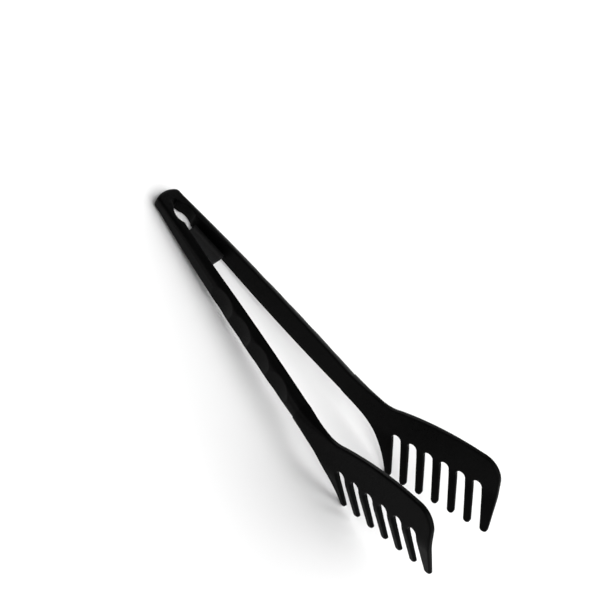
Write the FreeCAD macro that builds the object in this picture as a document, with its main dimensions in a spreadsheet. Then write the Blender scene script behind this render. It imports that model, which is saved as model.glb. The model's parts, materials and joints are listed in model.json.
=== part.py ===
"""Spring loaded kitchen tongs with toothed heads, as a parametric assembly.

Frame, in millimetres: +X runs from the bow along the tongs to the heads, +Y is to the
right-hand arm and +Z is up, square to the plane in which the arms open. The origin is on the
axis that both arms turn about, at the centre of the bow.

Each arm is modelled as it lies when the tongs are squeezed shut, with its inner face parallel
to X, and is then turned outwards by open_angle. The right arm is modelled and the left one is
its mirror image.
"""
import FreeCAD, Part
import math
import os
import re
import Sketcher

SIZES = {
    # How far each arm stands open, and its inner face's distance from the middle plane
    "open_angle": 5.1,
    "face_offset": 5.2,
    # Handle: heights from the origin, thicknesses and edge roundings, at the bow, the middle
    # and the neck
    "middle_station": 88.0,
    "neck_station": 153.9,
    "bow_top": 5.6,
    "bow_bottom": -2.8,
    "middle_top": 9.0,
    "middle_bottom": -8.0,
    "neck_top": 8.2,
    "neck_bottom": -7.4,
    "bow_thick": 4.2,
    "middle_thick": 6.4,
    "neck_thick": 7.1,
    "bow_round": 2.2,
    "middle_round": 6.1,
    "neck_round": 6.8,
    # Closed end of the bow: straight sides, tight corners and a shallow arc across the back
    "bow_side": 5.1,
    "bow_corner_radius": 3.2,
    "bow_back_radius": 16.0,
    # Allowance inside the blank, plate under the cover, gap between arm and bow
    "edge_land": 0.3,
    "frame_plate": 1.9,
    "body_clearance": 0.3,
    # Hanging eye between the arms, from its nose in the bow to the throat
    "eye_nose_reach": 2.4,
    "eye_nose_half": 2.1,
    "eye_flare_station": 3.8,
    "eye_flare_half": 3.2,
    "eye_side_radius": 10.3,
    "throat_station": 16.0,
    "throat_half": 3.6,
    "throat_run": 30.0,
    # Finger scallops
    "scallop_count": 4,
    "scallop_pitch": 20.6,
    "scallop_depth": 2.1,
    "scallop_end_gap": 10.0,
    # Toothed head, measured along and across its row from the top of the first slot
    "head_run": 43.3,
    "comb_angle": 26.5,
    "comb_lean": 1.6,
    "plate_thick": 3.4,
    "tip_thick": 2.4,
    "tooth_count": 7,
    "tooth_pitch": 11.8,
    "slot_width": 6.9,
    "tooth_length": 29.4,
    "tooth_slant": 12.4,
    "tooth_lean": 12.6,
    "tooth_bend": 40.0,
    "tip_gap": 0.2,
    "spine_rise": 21.7,
    "spine_dip": 3.8,
    "spine_front_drop": 1.4,
    "spine_bend": 13.0,
    "spine_bend_radius": 23.0,
    "spine_arch_radius": 200.0,
    "nose_radius": 14.0,
    "rear_radius": 59.0,
    "root_back": 28.6,
    "root_low": 4.3,
    "root_run": 8.6,
    "root_high": 19.6,
    # Neck: two more sections on the way from the handle into the head's plate
    "neck_mid_run": 13.0,
    "neck_end_run": 27.0,
    "neck_mid_rise": 0.8,
    "neck_end_rise": 2.6,
    "neck_mid_drop": 1.2,
    "neck_end_drop": 3.0,
    "neck_end_thick": 3.6,
    "neck_step": 0.25,
    "neck_mid_round": 4.0,
    "neck_end_round": 1.6,
    # Leaf spring and its rivets
    "strip_thick": 0.8,
    "strip_height": 5.0,
    "strip_level": 1.6,
    "strip_leg": 48.0,
    "strip_clearance": 0.15,
    "rivet_radius": 1.1,
    "rivet_head_radius": 1.8,
    "rivet_head_thick": 0.5,
    "rivet_pitch": 14.0,
    "rivet_root": 1.1,
    "rivet_slack": 0.06,
    # Stop web between the arms
    "web_start": 18.2,
    "web_length": 26.2,
    "web_thick": 1.8,
    "web_lift": 0.4,
    "web_fillet": 2.6,
    # Reach of the cutting outlines past the piece: short, sideways and lengthways
    "overrun": 1.0,
    "wide_cut": 40.0,
    "long_cut": 400.0,
}

doc = FreeCAD.newDocument("tongs")
sheet = doc.addObject("Spreadsheet::Sheet", "Sizes")
for row, (alias, size) in enumerate(SIZES.items(), start=1):
    sheet.set("A%d" % row, alias)
    sheet.set("B%d" % row, str(size))
    sheet.setAlias("B%d" % row, alias)
doc.recompute()

ALIAS = re.compile(r"\b(" + "|".join(SIZES) + r")\b")


def bound(words):
    """An expression over the size names, written out as the sheet's cells."""
    return ALIAS.sub(r"Sizes.\1", str(words))


def value(words):
    """The number that an expression over the size names gives."""
    result = sheet.evalExpression(bound(words))
    return float(getattr(result, "Value", result))


def origin_plane(body, role):
    return next(item for item in body.Origin.OriginFeatures if item.Role == role)


def new_body(name, label=None):
    body = doc.addObject("PartDesign::Body", name)
    body.Label = label or name
    return body


def new_sketch(body, name, role, offset=None, turn=None):
    """A sketch on one of the body's origin planes, moved along its normal and turned."""
    sketch = body.newObject("Sketcher::SketchObject", name)
    sketch.AttachmentSupport = (origin_plane(body, role), [""])
    sketch.MapMode = "FlatFace"
    if turn:
        axis, angle = turn
        rotation = FreeCAD.Rotation(FreeCAD.Vector(*axis), value(angle))
        sketch.AttachmentOffset = FreeCAD.Placement(FreeCAD.Vector(), rotation)
        sketch.setExpression("AttachmentOffset.Rotation.Angle", bound(angle))
    if offset:
        sketch.setExpression("AttachmentOffset.Base.z", bound(offset))
    return sketch


def fix_point(sketch, geometry, end, across, upward):
    """Hold one end of a segment at two expressions, measured from the sketch's origin."""
    for kind, words in (("DistanceX", across), ("DistanceY", upward)):
        index = sketch.addConstraint(
            Sketcher.Constraint(kind, -1, 1, geometry, end, value(words)))
        sketch.setExpression("Constraints[%d]" % index, bound(words))


def arc_between(start, finish, radius):
    """A circular arc between two points, shorter than a half turn.

    A positive radius turns left on the way from start to finish, a negative one right.
    """
    chord = finish - start
    half = chord.Length / 2
    rise = math.sqrt(max(radius * radius - half * half, 0.0))
    side = 1.0 if radius > 0 else -1.0
    normal = FreeCAD.Vector(-chord.y, chord.x, 0).normalize() * side
    centre = (start + finish) * 0.5 + normal * rise
    middle = centre - normal * abs(radius)
    return Part.Arc(start, middle, finish).toShape().Curve, centre


def draw_loop(sketch, steps):
    """Draw a closed outline. Each step is where it goes next, and a radius if by an arc."""
    points = [FreeCAD.Vector(value(step[0]), value(step[1]), 0) for step in steps]
    for index, step in enumerate(steps):
        start, finish = points[index - 1], points[index]
        if len(step) == 2:
            geometry = sketch.addGeometry(Part.LineSegment(start, finish))
            first, last = 1, 2
        else:
            radius = value(step[2])
            circle, centre = arc_between(start, finish, radius)
            ends = [math.atan2(p.y - centre.y, p.x - centre.x) for p in (start, finish)]
            if radius < 0:
                ends.reverse()
            base = Part.Circle(centre, FreeCAD.Vector(0, 0, 1), abs(radius))
            geometry = sketch.addGeometry(Part.ArcOfCircle(base, ends[0], ends[1]))
            first, last = (1, 2) if radius > 0 else (2, 1)
            held = sketch.addConstraint(Sketcher.Constraint("Radius", geometry, abs(radius)))
            sketch.setExpression("Constraints[%d]" % held, bound("abs(%s)" % step[2]))
        fix_point(sketch, geometry, first, steps[index - 1][0], steps[index - 1][1])
        fix_point(sketch, geometry, last, step[0], step[1])
    return sketch


def draw_circle(sketch, across, upward, radius):
    centre = FreeCAD.Vector(value(across), value(upward), 0)
    circle = Part.Circle(centre, FreeCAD.Vector(0, 0, 1), value(radius))
    geometry = sketch.addGeometry(circle)
    held = sketch.addConstraint(Sketcher.Constraint("Radius", geometry, value(radius)))
    sketch.setExpression("Constraints[%d]" % held, bound(radius))
    fix_point(sketch, geometry, 3, across, upward)


def both_ways(body, kind, name, sketch, length):
    """A pad or pocket that runs the same way to both sides of its sketch."""
    feature = body.newObject("PartDesign::" + kind, name)
    feature.Profile = sketch
    feature.Midplane = True
    feature.setExpression("Length", bound(length))
    return feature


def loft(body, kind, name, sketches, ruled=False):
    feature = body.newObject("PartDesign::" + kind, name)
    feature.Profile = sketches[0]
    feature.Sections = sketches[1:]
    feature.Ruled = ruled
    return feature


def along(quantity, station):
    """A handle size at a station, on the parabola through its bow, middle and neck values."""
    low = "bow_" + quantity
    mid = "middle_" + quantity
    high = "neck_" + quantity
    here = "(%s)" % station
    at_bow = "(%s - middle_station) * (%s - neck_station) / (middle_station * neck_station)"
    at_middle = "%s * (neck_station - %s) / (middle_station * (neck_station - middle_station))"
    at_neck = "%s * (%s - middle_station) / (neck_station * (neck_station - middle_station))"
    return "(%s * %s + %s * %s + %s * %s)" % (
        low, at_bow % (here, here),
        mid, at_middle % (here, here),
        high, at_neck % (here, here))


def d_section(body, name, station, inner, outer, top, bottom, radius):
    """A section across the arm: flat inside, with its two outer corners rounded."""
    sketch = new_sketch(body, name, "YZ_Plane", offset=station)
    return draw_loop(sketch, [
        (inner, top),
        ("%s - %s" % (outer, radius), top),
        (outer, "%s - %s" % (top, radius), "-" + radius),
        (outer, "%s + %s" % (bottom, radius)),
        ("%s - %s" % (outer, radius), bottom, "-" + radius),
        (inner, bottom),
    ])


def handle_section(body, name, station):
    """The whole handle's section at a station, wide enough inside for its inner face."""
    thick = along("thick", station)
    return d_section(
        body, name, station,
        inner="(eye_nose_half - edge_land)",
        outer="(face_offset + %s)" % thick,
        top=along("top", station),
        bottom=along("bottom", station),
        radius=along("round", station))


def handle_blank(body):
    """The handle from the bow to the neck, before it is split into frame and cover."""
    stations = ["0", "middle_station", "neck_station"]
    sections = [handle_section(body, "Section%d" % n, x) for n, x in enumerate(stations)]
    return loft(body, "AdditiveLoft", "Handle", sections)


def cut_block(body, name, low_x, high_x, low_y, high_y):
    """Cut away a rectangle, seen from above, through the whole height."""
    sketch = new_sketch(body, name + "Outline", "XY_Plane")
    draw_loop(sketch, [(low_x, low_y), (high_x, low_y), (high_x, high_y), (low_x, high_y)])
    return both_ways(body, "Pocket", name, sketch, "long_cut")


def cut_at_bow(body, gap="body_clearance"):
    """End an arm's piece along a plane through the turning axis, a gap away from the bow."""
    sketch = new_sketch(body, "BowEndOutline", "XY_Plane")
    lean = "(%s * tan(open_angle))"
    edge = "%s / cos(open_angle) + " % gap
    draw_loop(sketch, [
        ("-long_cut", "-wide_cut"),
        (edge + lean % "(-wide_cut)", "-wide_cut"),
        (edge + lean % "wide_cut", "wide_cut"),
        ("-long_cut", "wide_cut"),
    ])
    return both_ways(body, "Pocket", "BowEnd", sketch, "long_cut")


def cut_inner_face(body):
    """Shape the side that faces the other arm: the eye's flank, the throat and the flat."""
    sketch = new_sketch(body, "InnerFaceOutline", "XY_Plane")
    throat_end = "(throat_station + throat_run)"
    draw_loop(sketch, [
        ("-overrun", "eye_nose_half"),
        ("eye_flare_station", "eye_flare_half"),
        ("throat_station", "throat_half", "-eye_side_radius"),
        (throat_end, "face_offset"),
        ("neck_station + overrun", "face_offset"),
        ("neck_station + overrun", "-wide_cut"),
        ("-overrun", "-wide_cut"),
    ])
    return both_ways(body, "Pocket", "InnerFace", sketch, "long_cut")


def comb_sketch(body, name):
    """A sketch seen from the side, along the row of teeth, from the top of the first slot."""
    sketch = new_sketch(body, name, "XZ_Plane", turn=((0, 0, 1), "comb_angle"))
    sketch.setExpression("AttachmentOffset.Base.x", bound(COMB_REACH))
    return sketch


COMB_REACH = "(neck_station + head_run)"
SLANT = "tan(tooth_slant)"
BEND_DOWN = "(tooth_bend * (sin(tooth_lean) - sin(comb_lean)))"
BEND_IN = "(tooth_bend * (cos(comb_lean) - cos(tooth_lean)))"
COMB_OFFSET = "(tip_gap + %s + (tooth_length - %s) * tan(tooth_lean))" % (BEND_IN, BEND_DOWN)
TIP_ROUND = "((tooth_pitch - slot_width) / 2)"
ROW_END = "((tooth_count - 1.5) * tooth_pitch + %s * tooth_length + %s)" % (SLANT, TIP_ROUND)
ROW_START = "(-tooth_pitch / 2 + %s * tooth_length - %s)" % (SLANT, TIP_ROUND)


def comb_slab(body):
    """The head's plate: upright above the slots, with the teeth bent in to meet at the tips."""
    sketch = new_sketch(body, "PlateProfile", "YZ_Plane", turn=((-1, 0, 0), "comb_angle"))
    sketch.setExpression("AttachmentOffset.Base.z", bound(COMB_REACH))
    head = "(spine_rise * 2)"
    lean = "(%s * tan(comb_lean))" % head
    below = "-(tooth_length + tip_thick)"
    bent = "(%s - %s)" % (COMB_OFFSET, BEND_IN)
    draw_loop(sketch, [
        ("%s + %s" % (COMB_OFFSET, lean), head),
        (COMB_OFFSET, "0"),
        (bent, "-" + BEND_DOWN, "-tooth_bend"),
        ("tip_gap", "-tooth_length"),
        ("tip_gap", below),
        ("tip_gap + tip_thick", below),
        ("tip_gap + tip_thick", "-tooth_length"),
        ("%s + plate_thick" % bent, "-" + BEND_DOWN),
        ("%s + plate_thick" % COMB_OFFSET, "0", "tooth_bend"),
        ("%s + plate_thick + %s" % (COMB_OFFSET, lean), head),
    ])
    both_ways(body, "Pad", "Plate", sketch, "long_cut")


def comb_outline(body):
    """Trim the plate to the head's outline: rear sweep, teeth line, front edge and spine."""
    sketch = comb_sketch(body, "HeadOutline")
    low, high = "-long_cut", "long_cut"
    draw_loop(sketch, [(low, low), (high, low), (high, high), (low, high)])
    tips = "-tooth_length"
    rounded = "(%s + %s)" % (tips, TIP_ROUND)
    draw_loop(sketch, [
        ("-root_back", "root_low", "rear_radius"),
        ("-root_back + root_run", "root_high"),
        ("-spine_bend", "spine_rise - spine_dip"),
        ("0", "spine_rise - spine_dip", "spine_bend_radius"),
        ("%s - nose_radius" % ROW_END, "spine_rise - spine_front_drop", "-spine_arch_radius"),
        (ROW_END, "spine_rise - spine_front_drop - nose_radius", "-nose_radius"),
        (ROW_END, rounded),
        ("%s - %s" % (ROW_END, TIP_ROUND), tips, "-" + TIP_ROUND),
        ("%s + %s" % (ROW_START, TIP_ROUND), tips),
        (ROW_START, rounded, "-" + TIP_ROUND),
    ])
    both_ways(body, "Pocket", "HeadTrim", sketch, "long_cut")


def comb_slots(body):
    """The slots between the teeth. Each one's flared mouth rounds the tips beside it."""
    sketch = comb_sketch(body, "SlotOutline")
    half = "(slot_width / 2)"
    step = "(tooth_pitch / 2)"
    shoulder = "(tooth_length - %s)" % TIP_ROUND
    past = "-(tooth_length + tip_thick)"

    def at(across, depth):
        return "%s + %s * %s" % (across, SLANT, depth)

    draw_loop(sketch, [
        (at("-" + step, "tooth_length"), past),
        (at("-" + step, "tooth_length"), "-tooth_length"),
        (at("-" + half, shoulder), "-" + shoulder, TIP_ROUND),
        (at("-" + half, half), "-" + half),
        ("0", "0", "-" + half),
        (at(half, half), "-" + half, "-" + half),
        (at(half, shoulder), "-" + shoulder),
        (at(step, "tooth_length"), "-tooth_length", TIP_ROUND),
        (at(step, "tooth_length"), past),
    ])
    slot = both_ways(body, "Pocket", "Slot", sketch, "long_cut")
    row_of_slots = body.newObject("PartDesign::LinearPattern", "Slots")
    row_of_slots.Originals = [slot]
    row_of_slots.Direction = (sketch, ["H_Axis"])
    row_of_slots.setExpression("Length", bound("tooth_pitch * (tooth_count - 2)"))
    row_of_slots.setExpression("Occurrences", bound("tooth_count - 1"))
    body.Tip = row_of_slots


def neck_section(body, name, run, inner, thick, rise, drop, radius):
    """A section of the neck, a run past the end of the handle."""
    return d_section(
        body, name, "neck_station + " + run,
        inner=inner,
        outer="(%s + %s)" % (inner, thick),
        top="(neck_top + %s)" % rise,
        bottom="(neck_bottom - %s)" % drop,
        radius=radius)


def neck(body):
    """The neck, where the handle thins down into the head's leaning plate."""
    plate_face = "(" + COMB_OFFSET + " + (head_run - %s) * sin(comb_angle) * tan(comb_lean))"
    sections = [
        neck_section(body, "NeckStart", "0", "face_offset", "(neck_thick + neck_step)",
                     "neck_step", "neck_step", "neck_round"),
        neck_section(body, "NeckMiddle", "neck_mid_run", plate_face % "neck_mid_run",
                     "((neck_thick + neck_end_thick) / 2)",
                     "neck_mid_rise", "neck_mid_drop", "neck_mid_round"),
        neck_section(body, "NeckEnd", "neck_end_run", plate_face % "neck_end_run",
                     "neck_end_thick",
                     "neck_end_rise", "neck_end_drop", "neck_end_round"),
    ]
    return loft(body, "AdditiveLoft", "Neck", sections)


SPLIT = "(face_offset + frame_plate)"
STRIP_INSIDE = "(%s + strip_clearance)" % SPLIT
STRIP_OUTSIDE = "(%s + strip_thick)" % STRIP_INSIDE
UNDER_HEAD = "(strip_clearance + strip_thick + rivet_slack)"
RIVET_ONE = "(strip_leg - strip_height / 2 - rivet_pitch)"
RIVET_TWO = "(strip_leg - strip_height / 2)"


def turn_out(body):
    """Turn an arm's piece from the closed position, in which it is drawn, to rest."""
    body.Placement = FreeCAD.Placement(
        FreeCAD.Vector(), FreeCAD.Rotation(FreeCAD.Vector(0, 0, 1), value("open_angle")))
    body.setExpression("Placement.Rotation.Angle", bound("open_angle"))


def rivet_stations(body, kind, name, offset, radius, length, reverse=False):
    """Two round pads or pockets square to the split, one at each rivet."""
    sketch = new_sketch(body, name + "Outline", "XZ_Plane", offset="-(%s)" % offset)
    for station in (RIVET_ONE, RIVET_TWO):
        draw_circle(sketch, station, "strip_level", radius)
    feature = body.newObject("PartDesign::" + kind, name)
    feature.Profile = sketch
    feature.Reversed = reverse
    feature.setExpression("Length", bound(length))
    return feature


def comb_frame(label):
    """One moulding: the toothed head, its neck and the plate that runs back under the cover."""
    body = new_body(label)
    comb_slab(body)
    comb_outline(body)
    comb_slots(body)
    neck(body)
    handle_blank(body)
    cut_block(body, "CoverSeat", "-long_cut", "neck_station", SPLIT, "wide_cut")
    cut_inner_face(body)
    cut_at_bow(body)
    rivet_stations(body, "Pocket", "RivetHoles", SPLIT, "rivet_radius", "rivet_root",
                   reverse=True)
    turn_out(body)
    return body


def grip_cover(label):
    """The outer half of the handle, with the finger scallops and the spring's channel."""
    body = new_body(label)
    handle_blank(body)
    cut_block(body, "FrameSeat", "-long_cut", "long_cut", "-wide_cut", SPLIT)
    channel = new_sketch(body, "ChannelOutline", "XY_Plane", offset="strip_level")
    draw_loop(channel, [
        ("-overrun", SPLIT + " - overrun"),
        ("strip_leg + strip_clearance", SPLIT + " - overrun"),
        ("strip_leg + strip_clearance", STRIP_OUTSIDE + " + strip_clearance"),
        ("-overrun", STRIP_OUTSIDE + " + strip_clearance"),
    ])
    both_ways(body, "Pocket", "Channel", channel, "strip_height + 2 * strip_clearance")
    rivet_stations(body, "Pocket", "RivetRecess", SPLIT, "rivet_head_radius + strip_clearance",
                   "%s + rivet_head_thick + strip_clearance" % UNDER_HEAD)
    half = "(scallop_pitch / 2)"
    radius = "((%s ^ 2 + scallop_depth ^ 2) / (2 * scallop_depth))" % half
    for number in range(int(value("scallop_count"))):
        station = "(neck_station - scallop_end_gap - (%d + 0.5) * scallop_pitch)" % number
        wall = "(face_offset + %s)" % along("thick", station)
        finger = new_sketch(body, "ScallopOutline%d" % number, "XY_Plane")
        draw_circle(finger, station, "%s - scallop_depth + %s" % (wall, radius), radius)
        both_ways(body, "Pocket", "Scallop%d" % number, finger, "long_cut")
    cut_at_bow(body)
    turn_out(body)
    return body


def spring_leg(label):
    """One leg of the steel strip, with its two rivet holes."""
    body = new_body(label)
    sketch = new_sketch(body, "LegOutline", "XY_Plane", offset="strip_level")
    draw_loop(sketch, [
        ("0", STRIP_INSIDE),
        ("strip_leg", STRIP_INSIDE),
        ("strip_leg", STRIP_OUTSIDE),
        ("0", STRIP_OUTSIDE),
    ])
    both_ways(body, "Pad", "Leg", sketch, "strip_height")
    cut_at_bow(body)
    rivet_stations(body, "Pocket", "LegHoles", SPLIT, "rivet_radius + rivet_slack", UNDER_HEAD)
    turn_out(body)
    return body


def rivets(label):
    """The two rivets that hold the leg: roots pressed into the frame, heads over the strip."""
    body = new_body(label)
    rivet_stations(body, "Pad", "Roots", SPLIT, "rivet_radius", "rivet_root")
    rivet_stations(body, "Pad", "Shanks", SPLIT, "rivet_radius", UNDER_HEAD, reverse=True)
    rivet_stations(body, "Pad", "Heads", "%s + %s" % (SPLIT, UNDER_HEAD), "rivet_head_radius",
                   "rivet_head_thick", reverse=True)
    turn_out(body)
    return body


def half_turn(body, kind, name, sketch):
    """Sweep a section half way round the turning axis, through the bow's closed end."""
    feature = body.newObject("PartDesign::" + kind, name)
    feature.Profile = sketch
    feature.ReferenceAxis = (origin_plane(body, "Z_Axis"), [""])
    feature.Angle = 180
    return feature


def round_rims(body, base, name, radius):
    """Round the upper and lower rims of a pad, all but their stretches along x = 0."""
    doc.recompute()
    rims = []
    for number, edge in enumerate(base.Shape.Edges, start=1):
        box = edge.BoundBox
        if box.ZLength < Part.Precision.confusion() and box.XLength > Part.Precision.confusion():
            rims.append("Edge%d" % number)
    fillet = body.newObject("PartDesign::Fillet", name)
    fillet.Base = (base, rims)
    fillet.setExpression("Radius", bound(radius))


def bow(label):
    """The rounded end that joins the arms, with the eye's nose and the spring's channel."""
    body = new_body(label)
    plan = new_sketch(body, "BowOutline", "XY_Plane", offset="bow_bottom")
    side = "((face_offset + bow_thick) / cos(open_angle) - bow_side * tan(open_angle))"
    corner_x = "(bow_corner_radius * sin(open_angle) - bow_side)"
    corner_y = "(%s - bow_corner_radius * cos(open_angle))" % side
    turn = "asin(%s / (bow_back_radius - bow_corner_radius))" % corner_y
    back_x = "(%s - bow_corner_radius * cos(%s))" % (corner_x, turn)
    back_y = "(%s + bow_corner_radius * sin(%s))" % (corner_y, turn)
    front = "((face_offset + bow_thick) / cos(open_angle))"
    draw_loop(plan, [
        ("0", front),
        ("-bow_side", side),
        (back_x, back_y, "bow_corner_radius"),
        (back_x, "-" + back_y, "bow_back_radius"),
        ("-bow_side", "-" + side, "bow_corner_radius"),
        ("0", "-" + front),
    ])
    bend = body.newObject("PartDesign::Pad", "Bend")
    bend.Profile = plan
    bend.setExpression("Length", bound("bow_top - bow_bottom"))
    round_rims(body, bend, "BowRims", "bow_round")
    nose = new_sketch(body, "NoseOutline", "XY_Plane")
    back = "(eye_nose_half - eye_nose_reach)"
    draw_loop(nose, [
        (back, "-eye_nose_half", "eye_nose_half"),
        ("overrun", "-eye_nose_half"),
        ("overrun", "eye_nose_half"),
        (back, "eye_nose_half"),
        ("-eye_nose_reach", "0", "eye_nose_half"),
    ])
    both_ways(body, "Pocket", "EyeNose", nose, "long_cut")
    channel = new_sketch(body, "ChannelSection", "YZ_Plane")
    low = "(strip_level - strip_height / 2 - strip_clearance)"
    high = "(strip_level + strip_height / 2 + strip_clearance)"
    inside = "(%s - strip_clearance)" % STRIP_INSIDE
    outside = "(%s + strip_clearance)" % STRIP_OUTSIDE
    draw_loop(channel, [(inside, low), (outside, low), (outside, high), (inside, high)])
    half_turn(body, "Groove", "Channel", channel)
    return body


def spring_bend(label):
    """The bend of the steel strip, inside the bow."""
    body = new_body(label)
    section = new_sketch(body, "BendSection", "YZ_Plane")
    low = "(strip_level - strip_height / 2)"
    high = "(strip_level + strip_height / 2)"
    draw_loop(section, [
        (STRIP_INSIDE, low), (STRIP_OUTSIDE, low), (STRIP_OUTSIDE, high), (STRIP_INSIDE, high)])
    half_turn(body, "Revolution", "StripBend", section)
    return body


def web_section(body, name, station):
    """A section of the stop web, with the fillet that runs up the right arm's inner face."""
    sketch = new_sketch(body, name, "YZ_Plane", offset=station)
    low = "(%s + web_lift)" % along("bottom", "(%s)" % station)
    top = "(%s + web_thick)" % low
    root = "(face_offset + frame_plate / 2)"
    face = "(throat_half + (face_offset - throat_half) * (%s - throat_station) / throat_run)"
    face = face % station
    return draw_loop(sketch, [
        ("-throat_half + body_clearance", low),
        (root, low),
        (root, "%s + web_fillet" % top),
        (face, "%s + web_fillet" % top),
        ("%s - web_fillet" % face, top, "-web_fillet"),
        ("-throat_half + body_clearance", top),
    ])


def stop_web(label):
    """The web that keeps the arms from being squeezed past the closed position."""
    body = new_body(label)
    sections = [
        web_section(body, "WebUpper", "web_start"),
        web_section(body, "WebLower", "web_start + web_length"),
    ]
    loft(body, "AdditiveLoft", "Web", sections, ruled=True)
    turn_out(body)
    return body


def mirrored(source, label):
    """The left-hand copy of a right-hand piece."""
    copy = doc.addObject("Part::Mirroring", label)
    copy.Label = label
    copy.Source = source
    copy.Normal = FreeCAD.Vector(0, 1, 0)
    return copy


def fused(pieces, label):
    whole = doc.addObject("Part::MultiFuse", label)
    whole.Label = label
    whole.Shapes = pieces
    return whole


plain_frame = comb_frame("plain_frame")
right_cover = grip_cover("right_grip_cover")
right_leg = spring_leg("right_spring_leg")
right_rivets = rivets("right_spring_rivets")

pieces = [
    bow("bow_end"),
    spring_bend("spring_bend"),
    fused([plain_frame, stop_web("web_blank")], "right_comb_frame"),
    right_cover,
    right_leg,
    right_rivets,
    mirrored(plain_frame, "left_comb_frame"),
    mirrored(right_cover, "left_grip_cover"),
    mirrored(right_leg, "left_spring_leg"),
    mirrored(right_rivets, "left_spring_rivets"),
]
doc.recompute()

for item in doc.Objects:
    if "Invalid" in item.State or "Error" in item.State:
        raise RuntimeError("%s (%s) did not build: %s" % (item.Label, item.Name, item.State))
for piece in pieces:
    if piece.Shape.isNull() or not piece.Shape.isValid():
        raise RuntimeError("%s has no valid shape" % piece.Label)

os.makedirs("parts", exist_ok=True)
for piece in pieces:
    piece.Shape.exportStep("parts/%s.step" % piece.Label)
    print("%-20s %9.1f mm3 in %d solid(s)" % (
        piece.Label, piece.Shape.Volume, len(piece.Shape.Solids)))
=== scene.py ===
"""Spring loaded kitchen tongs: the looks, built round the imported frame.

Sizes are in millimetres and are turned into metres as each mesh is made. An arm's mesh is
first laid out as the arm lies when the tongs are squeezed shut, with its inner face along X,
and is then turned out to rest. The left arm's meshes are mirror images of the right arm's.
"""

import json
import math

import bmesh
import bpy
import numpy as np
from mathutils import Matrix, Vector
from mathutils.geometry import delaunay_2d_cdt

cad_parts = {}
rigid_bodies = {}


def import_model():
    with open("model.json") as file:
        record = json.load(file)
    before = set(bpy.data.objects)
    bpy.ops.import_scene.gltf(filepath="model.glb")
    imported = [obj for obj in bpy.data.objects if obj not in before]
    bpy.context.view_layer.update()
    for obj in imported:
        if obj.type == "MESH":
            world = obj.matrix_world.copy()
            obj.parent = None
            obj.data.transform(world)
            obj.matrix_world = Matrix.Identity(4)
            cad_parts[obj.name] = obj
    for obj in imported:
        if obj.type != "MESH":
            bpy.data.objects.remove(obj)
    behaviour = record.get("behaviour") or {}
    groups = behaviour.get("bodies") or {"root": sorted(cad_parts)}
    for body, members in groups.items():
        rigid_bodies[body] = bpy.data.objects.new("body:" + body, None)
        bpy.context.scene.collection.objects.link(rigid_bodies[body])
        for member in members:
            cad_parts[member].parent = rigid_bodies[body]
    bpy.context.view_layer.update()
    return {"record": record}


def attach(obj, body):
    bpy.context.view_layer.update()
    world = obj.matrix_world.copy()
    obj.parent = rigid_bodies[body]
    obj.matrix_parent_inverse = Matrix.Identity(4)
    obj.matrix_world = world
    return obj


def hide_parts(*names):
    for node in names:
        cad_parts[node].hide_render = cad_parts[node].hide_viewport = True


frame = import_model()

MM = 0.001
JOINTS = {joint["name"]: joint for joint in frame["record"]["behaviour"]["joints"]}
OPEN_ANGLE = math.radians(JOINTS["right_squeeze"]["range_deg"][1])

# Handle stations, heights, thicknesses and roundings at the bow, the middle and the neck
STATIONS = (0.0, 88.0, 153.9)
TOP = (5.6, 9.0, 8.2)
BOTTOM = (-2.8, -8.0, -7.4)
THICK = (4.2, 6.4, 7.1)
NECK_STATION = STATIONS[2]
FACE_OFFSET = 5.2
ROUND = (2.2, 6.1, 6.8)
FRAME_PLATE = 1.9
SPLIT = FACE_OFFSET + FRAME_PLATE

# Closed end of the bow: straight sides, tight corners and a shallow arc across the back
BOW_SIDE = 5.1
BOW_CORNER_RADIUS = 3.2
BOW_BACK_RADIUS = 16.0
BOW_UNDER_RUN = math.radians(4.0)

# Hanging eye
EYE_NOSE_REACH = 2.4
EYE_NOSE_HALF = 2.1
EYE_FLARE = (3.8, 3.2)
EYE_SIDE_RADIUS = 10.3
THROAT = (16.0, 3.6)
THROAT_RUN = 30.0

# Finger scallops
SCALLOP_COUNT = 4
SCALLOP_PITCH = 20.6
SCALLOP_DEPTH = 2.1
SCALLOP_END_GAP = 10.0

# Toothed head
HEAD_ANGLE = math.radians(26.5)
HEAD_REACH = NECK_STATION + 43.3
HEAD_LEAN = math.radians(1.6)
PLATE_THICK = 3.4
TIP_THICK = 2.4
TIP_GAP = 0.2
TOOTH_COUNT = 7
TOOTH_PITCH = 11.8
SLOT_WIDTH = 6.9
TOOTH_LENGTH = 29.4
TOOTH_SLANT = math.tan(math.radians(12.4))
TOOTH_LEAN = math.radians(12.6)
TOOTH_BEND = 40.0
BEND_DOWN = TOOTH_BEND * (math.sin(TOOTH_LEAN) - math.sin(HEAD_LEAN))
BEND_IN = TOOTH_BEND * (math.cos(HEAD_LEAN) - math.cos(TOOTH_LEAN))
HEAD_OFFSET = TIP_GAP + BEND_IN + (TOOTH_LENGTH - BEND_DOWN) * math.tan(TOOTH_LEAN)
TIP_ROUND = (TOOTH_PITCH - SLOT_WIDTH) / 2
SPINE_RISE = 21.7
SPINE_DIP = 3.8
SPINE_FRONT_DROP = 1.4
SPINE_BEND = 13.0
SPINE_BEND_RADIUS = 23.0
SPINE_ARCH_RADIUS = 200.0
NOSE_RADIUS = 14.0
REAR_RADIUS = 59.0
ROOT = (-28.6, 4.3)
ROW_END = (TOOTH_COUNT - 1.5) * TOOTH_PITCH + TOOTH_SLANT * TOOTH_LENGTH + TIP_ROUND
ROW_START = -TOOTH_PITCH / 2 + TOOTH_SLANT * TOOTH_LENGTH - TIP_ROUND

# Neck: stations past the handle, how far its top rises and its bottom drops there, and how
# far it stands proud of the handle where it starts
NECK_RUNS = (0.0, 13.0, 27.0)
NECK_RISES = (0.0, 0.8, 2.6)
NECK_DROPS = (0.0, 1.2, 3.0)
NECK_STEP = 0.25
NECK_STEP_RUN = 14.0

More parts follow.
